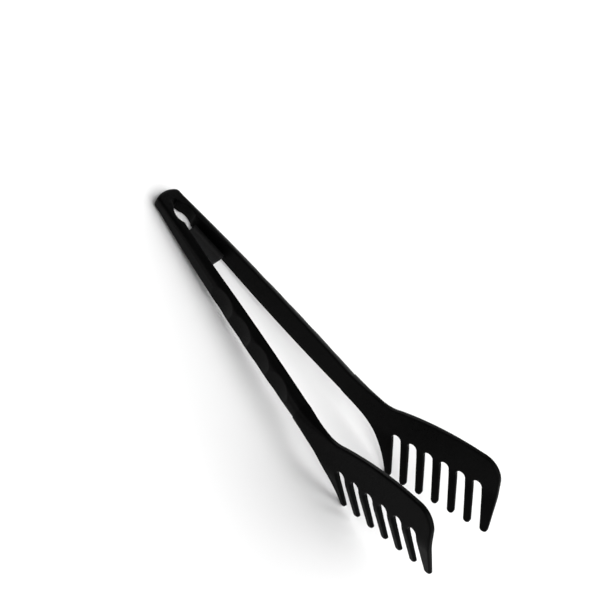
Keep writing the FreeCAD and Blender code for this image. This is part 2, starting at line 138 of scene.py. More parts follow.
# How far past the handle the head's faces and outer edge take to reach their own shape
HEAD_INSIDE_RUN = 20.0
HEAD_OUTSIDE_RUN = 29.0
HEAD_EDGE_RUN = 30.0

# Stop web
WEB_START = 18.2
WEB_LENGTH = 26.2
WEB_THICK = 1.8
WEB_LIFT = 0.4
WEB_FILLET = 2.6
WEB_GAP = 0.3
EJECTOR_PLACE = (38.0, 1.2)
EJECTOR_RADIUS = 1.5
EJECTOR_WIRE = 0.16

# Leaf spring, lying just outside the split, and its rivets
STRIP_THICK = 0.8
STRIP_HEIGHT = 5.0
STRIP_LEVEL = 1.6
STRIP_LEG = 48.0
STRIP_EDGE = 0.15
STRIP_CLEARANCE = 0.15
STRIP_MIDDLE = SPLIT + STRIP_CLEARANCE + STRIP_THICK / 2
BOW_GAP = 0.3
RIVET_RADIUS = 1.1
RIVET_ROOT = 1.1
RIVET_SLACK = 0.06
RIVET_HEAD_RADIUS = 1.8
RIVET_HEAD_THICK = 0.5
RIVET_HEAD_TAPER = 0.72
RIVET_STATIONS = (31.5, 45.5)
UNDER_RIVET_HEAD = STRIP_CLEARANCE + STRIP_THICK + RIVET_SLACK

# Roundings that a mould leaves on the edges
FINE_EDGE = 0.3
SCALLOP_EDGE = 0.45
HEAD_EDGE = 1.25
HEAD_INNER_EDGE = 0.3

# Two places nearer than this are one place
FINE_STEP = 0.004


def parabola(stations, sizes, x):
    """The parabola through three sizes at three stations."""
    total = 0.0
    for i, size in enumerate(sizes):
        share = size
        for j, station in enumerate(stations):
            if j != i:
                share = share * (x - station) / (stations[i] - station)
        total = total + share
    return total


def smooth_step(low, high, x):
    """0 below low, 1 above high and an easy curve between, for numbers or arrays."""
    t = np.clip((x - low) / (high - low), 0.0, 1.0)
    return t * t * (3.0 - 2.0 * t)


def mix(a, b, share):
    return a + (b - a) * share


def soft_min(a, b, blend):
    """The lower of two numbers, with the corner between them rounded over."""
    near = max(blend - abs(a - b), 0.0) / blend
    return min(a, b) - near * near * blend / 4


def arc_points(start, finish, radius, step):
    """Points after start, up to finish, on an arc shorter than a half turn.

    A positive radius turns left on the way from start to finish, a negative one right.
    """
    start, finish = Vector(start), Vector(finish)
    chord = finish - start
    half = chord.length / 2
    rise = math.sqrt(max(radius * radius - half * half, 0.0))
    normal = Vector((-chord.y, chord.x)).normalized() * math.copysign(1.0, radius)
    centre = (start + finish) / 2 + normal * rise
    spoke = start - centre
    turn = math.copysign(2 * math.asin(min(half / abs(radius), 1.0)), radius)
    count = max(2, math.ceil(abs(turn * radius) / step))
    turns = [turn * (n + 1) / count for n in range(count)]
    return [centre + Matrix.Rotation(angle, 2) @ spoke for angle in turns]


def line_points(start, finish, step):
    start, finish = Vector(start), Vector(finish)
    count = max(1, math.ceil((finish - start).length / step))
    return [start.lerp(finish, (n + 1) / count) for n in range(count)]


def trace(steps, step):
    """Points along a path. Each stop is a place, and a radius if it is reached by an arc."""
    points = [Vector(steps[0][:2])]
    for stop in steps[1:]:
        if (Vector(stop[:2]) - points[-1]).length < FINE_STEP:
            continue
        if len(stop) == 3:
            points += arc_points(points[-1], stop[:2], stop[2], step)
        else:
            points += line_points(points[-1], stop, step)
    return points


# ---------------------------------------------------------------- meshes

def make_piece(name, points, faces, material, sharp=38.0):
    """A closed, smooth-shaded mesh object, from points in millimetres."""
    mesh = bpy.data.meshes.new(name)
    mesh.from_pydata([Vector(p) * MM for p in points], [], faces)
    work = bmesh.new()
    work.from_mesh(mesh)
    bmesh.ops.remove_doubles(work, verts=work.verts, dist=FINE_STEP * MM)
    bmesh.ops.dissolve_degenerate(work, edges=work.edges, dist=FINE_STEP * MM / 2)
    bmesh.ops.recalc_face_normals(work, faces=work.faces)
    work.to_mesh(mesh)
    work.free()
    mesh.shade_smooth()
    mesh.set_sharp_from_angle(angle=math.radians(sharp))
    mesh.materials.append(material)
    piece = bpy.data.objects.new(name, mesh)
    bpy.context.scene.collection.objects.link(piece)
    return piece


def loft(sections):
    """Points and faces of a skin over closed sections with equal numbers of points."""
    points = [p for section in sections for p in section]
    size = len(sections[0])
    faces = []
    for row in range(len(sections) - 1):
        for n in range(size):
            m = (n + 1) % size
            low, high = row * size, (row + 1) * size
            faces.append((low + n, low + m, high + m, high + n))
    last = (len(sections) - 1) * size
    faces.append(tuple(range(size))[::-1])
    faces.append(tuple(last + n for n in range(size)))
    return points, faces


def joined(parts):
    """One list of points and faces from several."""
    points, faces = [], []
    for more_points, more_faces in parts:
        shift = len(points)
        points += more_points
        faces += [tuple(shift + n for n in face) for face in more_faces]
    return points, faces


def placed(points, side):
    """Turn an arm's points out from the closed position, on the right or the left side."""
    c, s = math.cos(OPEN_ANGLE), math.sin(OPEN_ANGLE)
    return [(c * x - s * y, side * (s * x + c * y), z) for x, y, z in points]


# ---------------------------------------------------------------- leaf spring and rivets

def new_tree(name, sizes):
    """A geometry tree whose named inputs are a path or points, a material and some sizes."""
    tree = bpy.data.node_groups.new(name, "GeometryNodeTree")
    sockets = [("Geometry", "Geometry"), ("Material", "Material")]
    sockets += [(label, "Float") for label in sizes]
    for label, kind in sockets:
        tree.interface.new_socket(label, in_out="INPUT", socket_type="NodeSocket" + kind)
    tree.interface.new_socket("Geometry", in_out="OUTPUT", socket_type="NodeSocketGeometry")
    return tree, tree.nodes.new("NodeGroupInput").outputs


def add_node(tree, kind, inputs, **settings):
    """A node whose inputs are each joined to a socket or given a value."""
    made = tree.nodes.new(kind)
    for label, setting in settings.items():
        setattr(made, label, setting)
    for label, source in inputs.items():
        if isinstance(source, bpy.types.NodeSocket):
            tree.links.new(source, made.inputs[label])
        else:
            made.inputs[label].default_value = source
    return made.outputs[0]


def finish_tree(tree, geometry, material):
    """End a tree: real geometry from its instances, in one material."""
    real = add_node(tree, "GeometryNodeRealizeInstances", {"Geometry": geometry})
    coated = add_node(tree, "GeometryNodeSetMaterial", {"Geometry": real, "Material": material})
    tree.links.new(coated, tree.nodes.new("NodeGroupOutput").inputs["Geometry"])


def strip_tree():
    """Sweeps the flat strip, with its rolled edges, along a level path."""
    sizes = ("Thickness", "Height", "Edge Radius")
    tree, given = new_tree("leaf_spring_strip", sizes)
    path = add_node(tree, "GeometryNodeMeshToCurve", {"Mesh": given["Geometry"]})
    upright = add_node(tree, "GeometryNodeSetCurveNormal", {"Curve": path}, mode="Z_UP")
    flat = add_node(tree, "GeometryNodeCurvePrimitiveQuadrilateral",
                    {"Width": given["Thickness"], "Height": given["Height"]})
    rolled = add_node(tree, "GeometryNodeFilletCurve",
                      {"Curve": flat, "Radius": given["Edge Radius"]})
    swept = add_node(tree, "GeometryNodeCurveToMesh",
                     {"Curve": upright, "Profile Curve": rolled, "Fill Caps": True})
    finish_tree(tree, swept, given["Material"])
    return tree


def rivet_tree():
    """Sets a rivet at each point: a shank through the strip and a head tapered at its rim."""
    sizes = ("Shank Radius", "Shank Start", "Shank Length", "Head Radius", "Head Start",
             "Head Thickness", "Direction")
    tree, given = new_tree("leaf_spring_rivets", sizes)

    def lying(mesh, start):
        offset = add_node(tree, "ShaderNodeCombineXYZ", {"X": start})
        return add_node(tree, "GeometryNodeTransform", {
            "Geometry": mesh, "Translation": offset, "Rotation": (0, math.pi / 2, 0)})

    def scaled(size, share):
        return add_node(tree, "ShaderNodeMath", {0: size, 1: share}, operation="MULTIPLY")

    shank = add_node(tree, "GeometryNodeMeshCone", {
        "Vertices": 32, "Radius Top": given["Shank Radius"],
        "Radius Bottom": given["Shank Radius"], "Depth": given["Shank Length"]})
    head = add_node(tree, "GeometryNodeMeshCone", {
        "Vertices": 32, "Radius Top": scaled(given["Head Radius"], RIVET_HEAD_TAPER),
        "Radius Bottom": given["Head Radius"], "Depth": given["Head Thickness"]})
    rivet = add_node(tree, "GeometryNodeJoinGeometry",
                     {"Geometry": lying(shank, given["Shank Start"])})
    tree.links.new(lying(head, given["Head Start"]), rivet.node.inputs["Geometry"])
    facing = add_node(tree, "ShaderNodeCombineXYZ", {"Z": given["Direction"]})
    set_in = add_node(tree, "GeometryNodeInstanceOnPoints",
                      {"Points": given["Geometry"], "Instance": rivet, "Rotation": facing})
    finish_tree(tree, set_in, given["Material"])
    return tree


def grown(name, tree, points, material, sizes):
    """A plain mesh object that a tree makes from a path, or from points, in millimetres."""
    mesh = bpy.data.meshes.new(name)
    links = [(n, n + 1) for n in range(len(points) - 1)]
    mesh.from_pydata([Vector(p) * MM for p in points], links, [])
    piece = bpy.data.objects.new(name, mesh)
    bpy.context.scene.collection.objects.link(piece)
    maker = piece.modifiers.new(tree.name, "NODES")
    maker.node_group = tree
    sockets = {item.name: item.identifier for item in tree.interface.items_tree
               if item.in_out == "INPUT"}
    maker[sockets["Material"]] = material
    for label, size in sizes.items():
        maker[sockets[label]] = size
    evaluated = piece.evaluated_get(bpy.context.evaluated_depsgraph_get())
    piece.data = bpy.data.meshes.new_from_object(evaluated)
    piece.modifiers.remove(maker)
    piece.data.shade_smooth()
    piece.data.set_sharp_from_angle(angle=math.radians(35))
    bpy.data.meshes.remove(mesh)
    return piece


def spring_strip(name, body, path, material):
    """One stretch of the leaf spring, along its path in plan."""
    points = [(x, y, STRIP_LEVEL) for x, y in path]
    piece = grown(name + "_skin", STRIP_TREE, points, material, {
        "Thickness": STRIP_THICK * MM, "Height": STRIP_HEIGHT * MM,
        "Edge Radius": STRIP_EDGE * MM})
    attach(piece, body)
    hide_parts(name)


def spring_rivets(name, body, side, material):
    """The two rivets that hold a leg of the spring to its arm."""
    seats = [(x, SPLIT, STRIP_LEVEL) for x in RIVET_STATIONS]
    shank = RIVET_ROOT + UNDER_RIVET_HEAD
    piece = grown(name + "_skin", RIVET_TREE, placed(seats, side), material, {
        "Shank Radius": RIVET_RADIUS * MM, "Shank Start": -RIVET_ROOT * MM,
        "Shank Length": shank * MM, "Head Radius": RIVET_HEAD_RADIUS * MM,
        "Head Start": UNDER_RIVET_HEAD * MM, "Head Thickness": RIVET_HEAD_THICK * MM,
        "Direction": side * (math.pi / 2 + OPEN_ANGLE)})
    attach(piece, body)
    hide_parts(name)


# ---------------------------------------------------------------- handle

def handle_top(x, y):
    """Height of the handle's upper surface."""
    top, outer, radius = handle_rounding(x, TOP)
    past = np.clip(y - (outer - radius), 0.0, radius)
    return top - radius + math.sqrt(radius * radius - past * past)


def handle_bottom(x, y):
    """Height of the handle's lower surface."""
    bottom, outer, radius = handle_rounding(x, BOTTOM)
    past = np.clip(y - (outer - radius), 0.0, radius)
    return bottom + radius - math.sqrt(radius * radius - past * past)


def handle_rounding(x, heights):
    thick = parabola(STATIONS, THICK, x)
    return parabola(STATIONS, heights, x), FACE_OFFSET + thick, parabola(STATIONS, ROUND, x)


def inner_face(x):
    """How far an arm's inner face lies from the middle plane: eye, throat, then flat."""
    if x < EYE_FLARE[0]:
        return mix(EYE_NOSE_HALF, EYE_FLARE[1], x / EYE_FLARE[0])
    if x < THROAT[0]:
        chord = Vector(THROAT) - Vector(EYE_FLARE)
        rise = math.sqrt(EYE_SIDE_RADIUS ** 2 - chord.length_squared / 4)
        centre = (Vector(THROAT) + Vector(EYE_FLARE)) / 2
        centre += Vector((chord.y, -chord.x)).normalized() * rise
        return centre.y + math.sqrt(EYE_SIDE_RADIUS ** 2 - (x - centre.x) ** 2)
    return mix(THROAT[1], FACE_OFFSET, min((x - THROAT[0]) / THROAT_RUN, 1.0))


SCALLOP_RADIUS = ((SCALLOP_PITCH / 2) ** 2 + SCALLOP_DEPTH ** 2) / (2 * SCALLOP_DEPTH)
FIRST_SCALLOP = NECK_STATION - SCALLOP_END_GAP - (SCALLOP_COUNT - 0.5) * SCALLOP_PITCH


def outer_face(x):
    """How far the handle's outer wall lies from the middle plane, finger scallops included."""
    wall = FACE_OFFSET + parabola(STATIONS, THICK, x)
    for n in range(SCALLOP_COUNT):
        middle = FIRST_SCALLOP + n * SCALLOP_PITCH
        if abs(x - middle) < SCALLOP_RADIUS:
            floor = FACE_OFFSET + parabola(STATIONS, THICK, middle) - SCALLOP_DEPTH
            rise = SCALLOP_RADIUS - math.sqrt(SCALLOP_RADIUS ** 2 - (x - middle) ** 2)
            wall = soft_min(wall, floor + rise, FINE_EDGE)
    return wall


def handle_stations(step=0.55):
    """Stations along a handle, with one on each ridge between the scallops."""
    edge = FIRST_SCALLOP - SCALLOP_PITCH / 2
    stops = [0.0, EYE_FLARE[0], THROAT[0], THROAT[0] + THROAT_RUN]
    stops += [edge + n * SCALLOP_PITCH for n in range(SCALLOP_COUNT + 1)]
    stops.append(NECK_STATION)
    stations = [0.0]
    for low, high in zip(stops, stops[1:]):
        count = math.ceil((high - low) / step)
        stations += [mix(low, high, (n + 1) / count) for n in range(count)]
    return stations


def cover_half(x, wall, height, sign):
    """The cover's section from the split out to its wall, along the top or the bottom."""
    level, outer, radius = handle_rounding(x, TOP if sign > 0 else BOTTOM)
    land = max(outer - radius, SPLIT)
    first = math.asin(min(max(SPLIT - (outer - radius), 0.0) / radius, 1.0))
    last = math.asin(min(max(wall - (outer - radius), 0.0) / radius, 1.0))
    corner = height(x, wall)
    close = last - SCALLOP_EDGE / radius
    points = [(mix(SPLIT, land, n / 3), height(x, mix(SPLIT, land, n / 3))) for n in range(3)]
    for n in range(13):
        angle = mix(first, close, n / 12)
        y = outer - radius + radius * math.sin(angle)
        points.append((y, level - sign * radius * (1 - math.cos(angle))))
    start, middle = Vector(points[-1]), Vector((wall, corner))
    finish = Vector((wall, corner - sign * SCALLOP_EDGE))
    for n in range(1, 5):
        t = n / 4
        points.append(tuple(start.lerp(middle, t).lerp(middle.lerp(finish, t), t)))
    return points


def grip_cover(name, side, body, material):
    """The handle's outer half, with a scallop for each finger."""
    sections = []
    for x in handle_stations():
        wall = outer_face(x)
        upper = cover_half(x, wall, handle_top, 1)
        lower = cover_half(x, wall, handle_bottom, -1)
        high, low = upper[-1][1], lower[-1][1]
        middle = [(wall, mix(high, low, n / 8)) for n in range(1, 8)]
        loop = upper + middle + lower[::-1]
        sections.append([(x, y, z) for y, z in loop])
    points, faces = loft(sections)
    piece = make_piece(name, placed(points, side), faces, material)
    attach(piece, body)
    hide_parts(name.replace("_skin", ""))
    return piece


def inner_plate():
    """The frame's plate under the cover: its inner edges are finely rounded."""
    sections = []
    for x in handle_stations(step=1.1):
        face = inner_face(x)
        top, bottom = handle_top(x, face), handle_bottom(x, face)
        loop = []
        for n in range(7):
            y = mix(SPLIT, face + FINE_EDGE, n / 6)
            loop.append((x, y, handle_top(x, y)))
        for n in range(1, 5):
            angle = math.pi / 2 * n / 4
            loop.append((x, face + FINE_EDGE * (1 - math.sin(angle)),
                         top - FINE_EDGE * (1 - math.cos(angle))))
        for n in range(1, 8):
            loop.append((x, face, mix(top - FINE_EDGE, bottom + FINE_EDGE, n / 8)))
        for n in range(4, -1, -1):
            angle = math.pi / 2 * n / 4
            loop.append((x, face + FINE_EDGE * (1 - math.sin(angle)),
                         bottom + FINE_EDGE * (1 - math.cos(angle))))
        for n in range(5, -1, -1):
            y = mix(SPLIT, face + FINE_EDGE, n / 6)
            loop.append((x, y, handle_bottom(x, y)))
        sections.append(loop)
    return loft(sections)


# ---------------------------------------------------------------- toothed head

def from_row(along, up):
    """A place in an arm's side view, from distances along and square to the row of teeth."""
    c, s = math.cos(HEAD_ANGLE), math.sin(HEAD_ANGLE)
    return Vector((HEAD_REACH + c * along - s * up, s * along + c * up))


def row_height(x, z):
    """Height above the first slot's top, square to the row, of a place in the side view."""
    return -(x - HEAD_REACH) * math.sin(HEAD_ANGLE) + z * math.cos(HEAD_ANGLE)


def neck_step(x):
    """How far the neck stands proud of the handle, fading out towards the head."""
    return NECK_STEP * (1.0 - smooth_step(0, NECK_STEP_RUN, x - NECK_STATION))


def head_outline(step):
    """The head's edge in side view, from the neck's top round the teeth to its bottom."""
    tips = -TOOTH_LENGTH
    rounded = tips + TIP_ROUND
    half = SLOT_WIDTH / 2

    def lean(along, depth):
        return along + TOOTH_SLANT * depth

    spine_start = from_row(-SPINE_BEND, SPINE_RISE - SPINE_DIP)
    root = from_row(*ROOT)
    neck = []
    for n in range(25):
        x = mix(NECK_STATION, spine_start.x, n / 25)
        rise = parabola(NECK_RUNS, NECK_RISES, x - NECK_STATION) + neck_step(x)
        neck.append(Vector((x, TOP[2] + rise)))
    front = SPINE_RISE - SPINE_FRONT_DROP
    row = [
        (-SPINE_BEND, SPINE_RISE - SPINE_DIP),
        (0.0, SPINE_RISE - SPINE_DIP, SPINE_BEND_RADIUS),
        (ROW_END - NOSE_RADIUS, front, -SPINE_ARCH_RADIUS),
        (ROW_END, front - NOSE_RADIUS, -NOSE_RADIUS),
        (ROW_END, rounded),
        (ROW_END - TIP_ROUND, tips, -TIP_ROUND),
    ]
    for n in range(TOOTH_COUNT - 2, -1, -1):
        slot = n * TOOTH_PITCH
        shoulder = TOOTH_LENGTH - TIP_ROUND
        row += [
            (lean(slot + TOOTH_PITCH / 2, TOOTH_LENGTH), tips),
            (lean(slot + half, shoulder), -shoulder, -TIP_ROUND),
            (lean(slot + half, half), -half),
            (slot, 0.0, half),
            (lean(slot - half, half), -half, half),
            (lean(slot - half, shoulder), -shoulder),
            (lean(slot - TOOTH_PITCH / 2, TOOTH_LENGTH), tips, -TIP_ROUND),
        ]
    row += [
        (ROW_START + TIP_ROUND, tips),
        (ROW_START, rounded, -TIP_ROUND),
        (*ROOT, REAR_RADIUS),
    ]
    head = [from_row(*p) for p in trace(row, step)]
    throat = []
    for n in range(1, 17):
        x = mix(root.x, NECK_STATION, n / 16)
        drop = parabola(NECK_RUNS, NECK_DROPS, x - NECK_STATION) + neck_step(x)
        throat.append(Vector((x, BOTTOM[2] - drop)))
    return neck + head + throat


def curled(offset, tip, up):
    """Distance from the middle plane of a face that leans, then bends in towards its tip."""
    down = np.maximum(-up, 0.0)
    on_bend = np.minimum(down, BEND_DOWN)
    sine = math.sin(HEAD_LEAN) + on_bend / TOOTH_BEND
    bent = offset - TOOTH_BEND * (math.cos(HEAD_LEAN) - np.sqrt(1.0 - sine ** 2))
    straight = (down - on_bend) / (TOOTH_LENGTH - BEND_DOWN)
    return np.where(up > 0, offset + up * math.tan(HEAD_LEAN), mix(bent, tip, straight))


def head_inside(x, z):
    plate = curled(HEAD_OFFSET, TIP_GAP, row_height(x, z))
    return mix(FACE_OFFSET, plate, smooth_step(0, HEAD_INSIDE_RUN, x - NECK_STATION))


def head_outside(x, z):
    plate = curled(HEAD_OFFSET + PLATE_THICK, TIP_GAP + TIP_THICK, row_height(x, z))
    start = FACE_OFFSET + THICK[2] + NECK_STEP
    return mix(start, plate, smooth_step(0, HEAD_OUTSIDE_RUN, x - NECK_STATION))


def inward_normals(path):
    """Unit normals to the right of an open path: into the head, as its outline runs."""
    p = np.array(path)
    ahead = np.vstack([p[1:] - p[:-1], p[-1:] - p[-2:-1]])
    ahead /= np.linalg.norm(ahead, axis=1)[:, None]
    behind = np.vstack([ahead[:1], ahead[:-1]])
    normal = np.stack([ahead[:, 1] + behind[:, 1], -ahead[:, 0] - behind[:, 0]], axis=1)
    length = np.linalg.norm(normal, axis=1)[:, None]
    normal = normal / length * np.minimum(2.0 / length, 1.4)
    normal[0], normal[-1] = (0.0, -1.0), (0.0, 1.0)
    return normal


def inside(polygon, points):
    """Which points lie inside a closed polygon."""
    result = np.zeros(len(points), bool)
    for a, b in zip(polygon, np.roll(polygon, -1, axis=0)):
        crosses = (a[1] > points[:, 1]) != (b[1] > points[:, 1])
        if a[1] != b[1]:
            at = a[0] + (points[:, 1] - a[1]) * (b[0] - a[0]) / (b[1] - a[1])
            result ^= crosses & (points[:, 0] < at)
    return result


def filled(boundary, spacing):
    """Triangles over a flat region: its boundary first, then evenly spread points."""
    low, high = boundary.min(axis=0), boundary.max(axis=0)
    rows = np.arange(low[1], high[1], spacing * 0.87)
    grid = []
    for n, z in enumerate(rows):
        xs = np.arange(low[0] + (n % 2) * spacing / 2, high[0], spacing)
        grid.append(np.stack([xs, np.full(len(xs), z)], axis=1))
    grid = np.vstack(grid)
    grid = grid[inside(boundary, grid)]
    gap = np.min(np.linalg.norm(grid[:, None] - boundary[None, ::2], axis=2), axis=1)
    grid = grid[gap > spacing * 0.6]
    flat = np.vstack([boundary, grid])
    ring = [list(range(len(boundary)))]
    result = delaunay_2d_cdt([Vector(p) for p in flat], [], ring, 1, 1e-5)
    return [tuple(v) for v in result[0]], [tuple(f) for f in result[2]]


def head_and_neck(step=0.75):
    """The toothed head with its neck: two faces with a rounded edge run between them."""
    path = np.array([tuple(p) for p in head_outline(step)])
    normal = inward_normals(path)
    outer_edge = mix(ROUND[2], HEAD_EDGE,
                     smooth_step(0, HEAD_EDGE_RUN, path[:, 0] - NECK_STATION))
    inner_edge = np.full(len(path), HEAD_INNER_EDGE)
    rings = []
    for n in range(5):
        angle = math.pi / 2 * (1 - n / 4)
        at = path + normal * (inner_edge * (1 - math.cos(angle)))[:, None]
        depth = head_inside(at[:, 0], at[:, 1]) + inner_edge * (1 - math.sin(angle))
        rings.append((at, depth))
    for n in range(9):
        angle = math.pi / 2 * n / 8
        at = path + normal * (outer_edge * (1 - math.cos(angle)))[:, None]
        depth = head_outside(at[:, 0], at[:, 1]) - outer_edge * (1 - math.sin(angle))
        rings.append((at, depth))
    points, faces = [], []
    size = len(path)
    for at, depth in rings:
        points += [(x, y, z) for (x, z), y in zip(at, depth)]
    for row in range(len(rings) - 1):
        for n in range(size - 1):
            low, high = row * size + n, (row + 1) * size + n
            faces.append((low, low + 1, high + 1, high))
    faces.append(tuple(row * size for row in range(len(rings))))
    faces.append(tuple(row * size + size - 1 for row in range(len(rings))))
    last = (len(rings) - 1) * size
    faces.append((0, last, last + size - 1, size - 1))
    parts = [(points, faces)]
    for at, face in ((rings[0][0], head_inside), (rings[-1][0], head_outside)):
        flat, triangles = filled(at, spacing=1.7)
        x, z = np.array(flat).T
        parts.append((list(zip(x, face(x, z), z)), triangles))
    return joined(parts)


# ---------------------------------------------------------------- stop web and bow

def web_loft():
    """The web between the arms, with a fillet up the right arm's inner face."""
    sections = []
    for n in range(40):
        x = WEB_START + WEB_LENGTH * n / 39
        ends = min(x - WEB_START, WEB_START + WEB_LENGTH - x)
        trim = FINE_EDGE - math.sqrt(FINE_EDGE ** 2 - max(FINE_EDGE - ends, 0.0) ** 2)
        low = parabola(STATIONS, BOTTOM, x) + WEB_LIFT + trim
        high = low + WEB_THICK - 2 * trim
        face = inner_face(x)
        root = face + FRAME_PLATE / 2
        edge = -THROAT[1] + WEB_GAP
        loop = [(edge, low + FINE_EDGE), (edge + FINE_EDGE, low), (root, low)]
        loop += [(root, high + WEB_FILLET), (face, high + WEB_FILLET)]
        for k in range(1, 11):
            angle = math.pi / 2 * k / 10
            loop.append((face - WEB_FILLET * (1 - math.cos(angle)),
                         high + WEB_FILLET * (1 - math.sin(angle))))
        loop += [(edge + FINE_EDGE, high), (edge, high - FINE_EDGE)]
        sections.append([(x, y, z) for y, z in loop])
    return loft(sections)


def ejector_mark(centre, radius, wire):
    """The curved ridge that an ejector pin leaves on the web."""
    sections = []
    x0, y0 = centre
    height = parabola(STATIONS, BOTTOM, x0) + WEB_LIFT + WEB_THICK
    for n in range(37):
        turn = math.radians(20 + 300 * n / 36)
        loop = []
        for k in range(8):
            angle = 2 * math.pi * k / 8
            reach = radius + wire * math.cos(angle)
            loop.append((x0 + reach * math.cos(turn), y0 + reach * math.sin(turn),
                         height + wire * math.sin(angle)))
        sections.append(loop)
    return loft(sections)


def stop_web(material):
    """The part of the right arm's moulding that stops the arms when they are squeezed."""
    points, faces = joined([web_loft(), ejector_mark(EJECTOR_PLACE, EJECTOR_RADIUS, EJECTOR_WIRE)])
    piece = make_piece("right_stop_web_skin", placed(points, 1), faces, material)
    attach(piece, "right_arm")


def comb_frame(name, side, body, material):
    """One arm's moulding: toothed head, neck and the plate that runs back to the bow."""
    points, faces = joined([head_and_neck(), inner_plate()])
    piece = make_piece(name, placed(points, side), faces, material)
    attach(piece, body)
    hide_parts(name.replace("_skin", ""))
    return piece


def nose_reach(angle):
    """Distance from the turning axis to the eye's wall, at an angle from the bow's back."""
    setback = EYE_NOSE_REACH - EYE_NOSE_HALF
    reach = setback * math.cos(angle) + math.sqrt(
        EYE_NOSE_HALF ** 2 - (setback * math.sin(angle)) ** 2)
    if reach * math.cos(angle) < setback:
        reach = EYE_NOSE_HALF / abs(math.sin(angle))
    return reach


def ray_to_circle(ray, centre, radius):
    """How far a ray from the turning axis runs to the far side of a circle."""
    along = ray.dot(centre)
    return along + math.sqrt(along ** 2 - centre.length_squared + radius ** 2)


def bow_reach(angle):
    """Distance from the turning axis to the bow's outer wall, at an angle from its back."""
    wall = FACE_OFFSET + THICK[0]
    ray = Vector((-math.cos(angle), abs(math.sin(angle))))
    if ray.x >= 0:
        return wall
    front = wall / math.cos(OPEN_ANGLE)
    reach = front / (ray.y - ray.x * math.tan(OPEN_ANGLE))
    if reach * ray.x > -BOW_SIDE:
        return reach
    corner = Vector((BOW_CORNER_RADIUS * math.sin(OPEN_ANGLE) - BOW_SIDE,
                     front - BOW_SIDE * math.tan(OPEN_ANGLE)
                     - BOW_CORNER_RADIUS * math.cos(OPEN_ANGLE)))
    between = BOW_BACK_RADIUS - BOW_CORNER_RADIUS
    back = Vector((corner.x + math.sqrt(between ** 2 - corner.y ** 2), 0.0))
    turn = math.asin(corner.y / between)
    reach = ray_to_circle(ray, back, BOW_BACK_RADIUS)
    if reach * ray.y > corner.y + BOW_CORNER_RADIUS * math.sin(turn):
        reach = ray_to_circle(ray, corner, BOW_CORNER_RADIUS)
    return reach


def bow_end(material):
    """The rounded end, which runs on under each arm so that no gap opens as they turn."""
    past = OPEN_ANGLE + BOW_UNDER_RUN
    radius = ROUND[0]
    sections = []
    for n in range(161):
        angle = mix(-math.pi / 2 - past, math.pi / 2 + past, n / 160)
        wall = nose_reach(angle)
        outer = bow_reach(angle)
        rim = [(wall + FINE_EDGE * (1 - math.sin(math.pi / 2 * (1 - k / 4))),
                TOP[0] - FINE_EDGE * (1 - math.cos(math.pi / 2 * (1 - k / 4))))
               for k in range(5)]
        loop = rim + [(mix(wall + FINE_EDGE, outer - radius, k / 3), TOP[0]) for k in (1, 2)]
        for k in range(13):
            turn = math.pi / 2 * k / 12
            loop.append((outer - radius + radius * math.sin(turn),
                         TOP[0] - radius * (1 - math.cos(turn))))
        for k in range(12, -1, -1):
            turn = math.pi / 2 * k / 12
            loop.append((outer - radius + radius * math.sin(turn),
                         BOTTOM[0] + radius * (1 - math.cos(turn))))
        loop += [(mix(wall + FINE_EDGE, outer - radius, k / 3), BOTTOM[0]) for k in (2, 1)]
        loop += [(reach, TOP[0] + BOTTOM[0] - z) for reach, z in rim[::-1]]
        back, across = -math.cos(angle), math.sin(angle)
        sections.append([(back * reach, across * reach, z) for reach, z in loop])
    points, faces = loft(sections)
    piece = make_piece("bow_end_skin", points, faces, material)
    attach(piece, "bow")
    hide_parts("bow_end")
    return piece


# ---------------------------------------------------------------- materials

def new_material(name):
    material = bpy.data.materials.new(name)
    material.use_nodes = True
    return material, material.node_tree.nodes, material.node_tree.links


